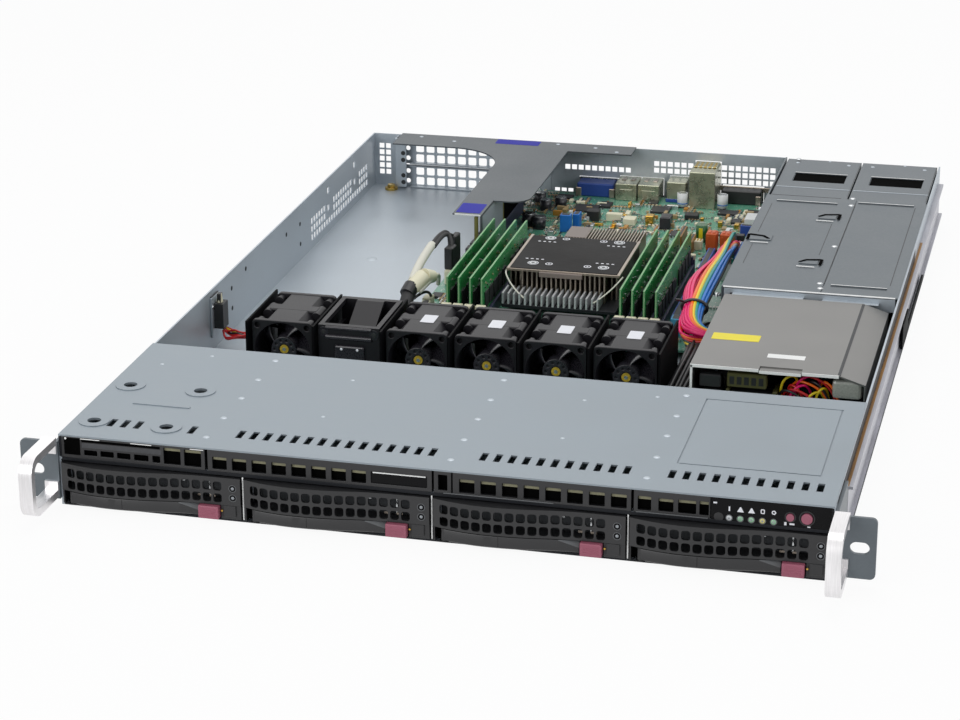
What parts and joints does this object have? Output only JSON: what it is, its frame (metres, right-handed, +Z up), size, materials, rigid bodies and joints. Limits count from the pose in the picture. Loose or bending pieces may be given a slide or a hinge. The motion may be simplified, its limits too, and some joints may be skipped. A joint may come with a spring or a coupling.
{
  "type": "1u rack server",
  "caption": "Flat rack server with front drive carriers, a row of fans, a main board and plug-in power supplies, shown with its rear lid off.",
  "frame": {"origin": "middle of the whole outline, handles and grips included, at the level of the floor's underside", "axes": "+X to the right seen from the front, +Y to the rear, +Z up"},
  "size_m": [0.4826, 0.715, 0.0435],
  "materials": {
    "zinc_steel": "zinc coated sheet, light blue-grey",
    "painted_cover": "grey coated sheet",
    "handle_aluminium": "brushed",
    "black_plastic": "fine moulded grain",
    "gloss_black": "polished",
    "maroon_plastic": "satin",
    "fan_plastic": "satin",
    "board_green": "solder mask",
    "memory_green": "solder mask",
    "socket_plastic": "moulded",
    "fin_metal": "dark nickel",
    "port_metal": "tinned shell",
    "drive_metal": "cast",
    "wire_plastic": "coloured insulation",
    "rail_steel": "zinc coated"
  },
  "bodies": {
    "chassis": {"chassis_tray": "zinc_steel", "front_cover": "zinc_steel", "drive_cage": "zinc_steel", "backplane": "board_green", "rack_ears": "zinc_steel", "front_handles": "handle_aluminium", "slide_rails": "rail_steel", "upper_bezel": "black_plastic", "control_panel": "gloss_black", "fan_blank": "black_plastic", "fan_partitions": "black_plastic", "motherboard": "board_green", "heatsink": "fin_metal", "memory_modules": "memory_green", "memory_sockets": "socket_plastic", "rear_ports": "port_metal", "riser_bracket": "painted_cover", "slot_covers": "zinc_steel", "supply_cage": "painted_cover", "power_distributor": "board_green", "power_cover": "painted_cover", "wiring": "wire_plastic", "intrusion_switch": "black_plastic", "fan_frame_1": "fan_plastic", "fan_frame_2": "fan_plastic", "fan_frame_3": "fan_plastic", "fan_frame_4": "fan_plastic", "fan_frame_5": "fan_plastic"},
    "carrier_1": {"drive_carrier_1": "black_plastic", "hard_drive_1": "drive_metal"},
    "lever_1": {"carrier_lever_1": "black_plastic"},
    "latch_1": {"carrier_latch_1": "maroon_plastic"},
    "carrier_2": {"drive_carrier_2": "black_plastic", "hard_drive_2": "drive_metal"},
    "lever_2": {"carrier_lever_2": "black_plastic"},
    "latch_2": {"carrier_latch_2": "maroon_plastic"},
    "carrier_3": {"drive_carrier_3": "black_plastic", "hard_drive_3": "drive_metal"},
    "lever_3": {"carrier_lever_3": "black_plastic"},
    "latch_3": {"carrier_latch_3": "maroon_plastic"},
    "carrier_4": {"drive_carrier_4": "black_plastic", "hard_drive_4": "drive_metal"},
    "lever_4": {"carrier_lever_4": "black_plastic"},
    "latch_4": {"carrier_latch_4": "maroon_plastic"},
    "front_rotor_1": {"fan_front_rotor_1": "fan_plastic"},
    "rear_rotor_1": {"fan_rear_rotor_1": "fan_plastic"},
    "front_rotor_2": {"fan_front_rotor_2": "fan_plastic"},
    "rear_rotor_2": {"fan_rear_rotor_2": "fan_plastic"},
    "front_rotor_3": {"fan_front_rotor_3": "fan_plastic"},
    "rear_rotor_3": {"fan_rear_rotor_3": "fan_plastic"},
    "front_rotor_4": {"fan_front_rotor_4": "fan_plastic"},
    "rear_rotor_4": {"fan_rear_rotor_4": "fan_plastic"},
    "front_rotor_5": {"fan_front_rotor_5": "fan_plastic"},
    "rear_rotor_5": {"fan_rear_rotor_5": "fan_plastic"},
    "power_button": {"power_button": "maroon_plastic"},
    "reset_button": {"reset_button": "maroon_plastic"},
    "supply_1": {"power_supply_1": "zinc_steel"},
    "supply_latch_1": {"supply_latch_1": "maroon_plastic"},
    "supply_2": {"power_supply_2": "zinc_steel"},
    "supply_latch_2": {"supply_latch_2": "maroon_plastic"}
  },
  "joints": [
    {"name": "carrier_slide_1", "type": "slide", "parent": "chassis", "child": "carrier_1", "axis": [0, -1, 0], "range_m": [0, 0.16]},
    {"name": "lever_hinge_1", "type": "hinge", "parent": "carrier_1", "child": "lever_1", "pos_m": [-0.2104, -0.3201, 0.006], "axis": [0, 0, 1], "range_deg": [-60, 0]},
    {"name": "latch_press_1", "type": "slide", "parent": "carrier_1", "child": "latch_1", "axis": [0, 1, 0], "range_m": [0, 0.0015], "stiffness_N_per_m": 400},
    {"name": "carrier_slide_2", "type": "slide", "parent": "chassis", "child": "carrier_2", "axis": [0, -1, 0], "range_m": [0, 0.16]},
    {"name": "lever_hinge_2", "type": "hinge", "parent": "carrier_2", "child": "lever_2", "pos_m": [-0.1014, -0.3201, 0.006], "axis": [0, 0, 1], "range_deg": [-60, 0]},
    {"name": "latch_press_2", "type": "slide", "parent": "carrier_2", "child": "latch_2", "axis": [0, 1, 0], "range_m": [0, 0.0015], "stiffness_N_per_m": 400},
    {"name": "carrier_slide_3", "type": "slide", "parent": "chassis", "child": "carrier_3", "axis": [0, -1, 0], "range_m": [0, 0.16]},
    {"name": "lever_hinge_3", "type": "hinge", "parent": "carrier_3", "child": "lever_3", "pos_m": [0.0076, -0.3201, 0.006], "axis": [0, 0, 1], "range_deg": [-60, 0]},
    {"name": "latch_press_3", "type": "slide", "parent": "carrier_3", "child": "latch_3", "axis": [0, 1, 0], "range_m": [0, 0.0015], "stiffness_N_per_m": 400},
    {"name": "carrier_slide_4", "type": "slide", "parent": "chassis", "child": "carrier_4", "axis": [0, -1, 0], "range_m": [0, 0.16]},
    {"name": "lever_hinge_4", "type": "hinge", "parent": "carrier_4", "child": "lever_4", "pos_m": [0.1166, -0.3201, 0.006], "axis": [0, 0, 1], "range_deg": [-60, 0]},
    {"name": "latch_press_4", "type": "slide", "parent": "carrier_4", "child": "latch_4", "axis": [0, 1, 0], "range_m": [0, 0.0015], "stiffness_N_per_m": 400},
    {"name": "front_rotor_spin_1", "type": "hinge", "parent": "chassis", "child": "front_rotor_1", "pos_m": [-0.155, -0.0891, 0.021], "axis": [0, 1, 0], "continuous": true},
    {"name": "rear_rotor_spin_1", "type": "hinge", "parent": "chassis", "child": "rear_rotor_1", "pos_m": [-0.155, -0.0611, 0.021], "axis": [0, -1, 0], "continuous": true},
    {"name": "front_rotor_spin_2", "type": "hinge", "parent": "chassis", "child": "front_rotor_2", "pos_m": [-0.0668, -0.0891, 0.021], "axis": [0, 1, 0], "continuous": true},
    {"name": "rear_rotor_spin_2", "type": "hinge", "parent": "chassis", "child": "rear_rotor_2", "pos_m": [-0.0668, -0.0611, 0.021], "axis": [0, -1, 0], "continuous": true},
    {"name": "front_rotor_spin_3", "type": "hinge", "parent": "chassis", "child": "front_rotor_3", "pos_m": [-0.0227, -0.0891, 0.021], "axis": [0, 1, 0], "continuous": true},
    {"name": "rear_rotor_spin_3", "type": "hinge", "parent": "chassis", "child": "rear_rotor_3", "pos_m": [-0.0227, -0.0611, 0.021], "axis": [0, -1, 0], "continuous": true},
    {"name": "front_rotor_spin_4", "type": "hinge", "parent": "chassis", "child": "front_rotor_4", "pos_m": [0.0214, -0.0891, 0.021], "axis": [0, 1, 0], "continuous": true},
    {"name": "rear_rotor_spin_4", "type": "hinge", "parent": "chassis", "child": "rear_rotor_4", "pos_m": [0.0214, -0.0611, 0.021], "axis": [0, -1, 0], "continuous": true},
    {"name": "front_rotor_spin_5", "type": "hinge", "parent": "chassis", "child": "front_rotor_5", "pos_m": [0.0655, -0.0891, 0.021], "axis": [0, 1, 0], "continuous": true},
    {"name": "rear_rotor_spin_5", "type": "hinge", "parent": "chassis", "child": "rear_rotor_5", "pos_m": [0.0655, -0.0611, 0.021], "axis": [0, -1, 0], "continuous": true},
    {"name": "power_press", "type": "slide", "parent": "chassis", "child": "power_button", "axis": [0, 1, 0], "range_m": [0, 0.0008], "stiffness_N_per_m": 300},
    {"name": "reset_press", "type": "slide", "parent": "chassis", "child": "reset_button", "axis": [0, 1, 0], "range_m": [0, 0.0008], "stiffness_N_per_m": 300},
    {"name": "supply_slide_1", "type": "slide", "parent": "chassis", "child": "supply_1", "axis": [0, 1, 0], "range_m": [0, 0.22]},
    {"name": "supply_latch_press_1", "type": "slide", "parent": "supply_1", "child": "supply_latch_1", "axis": [-1, 0, 0], "range_m": [0, 0.002], "stiffness_N_per_m": 400},
    {"name": "supply_slide_2", "type": "slide", "parent": "chassis", "child": "supply_2", "axis": [0, 1, 0], "range_m": [0, 0.22]},
    {"name": "supply_latch_press_2", "type": "slide", "parent": "supply_2", "child": "supply_latch_2", "axis": [-1, 0, 0], "range_m": [0, 0.002], "stiffness_N_per_m": 400}
  ]
}
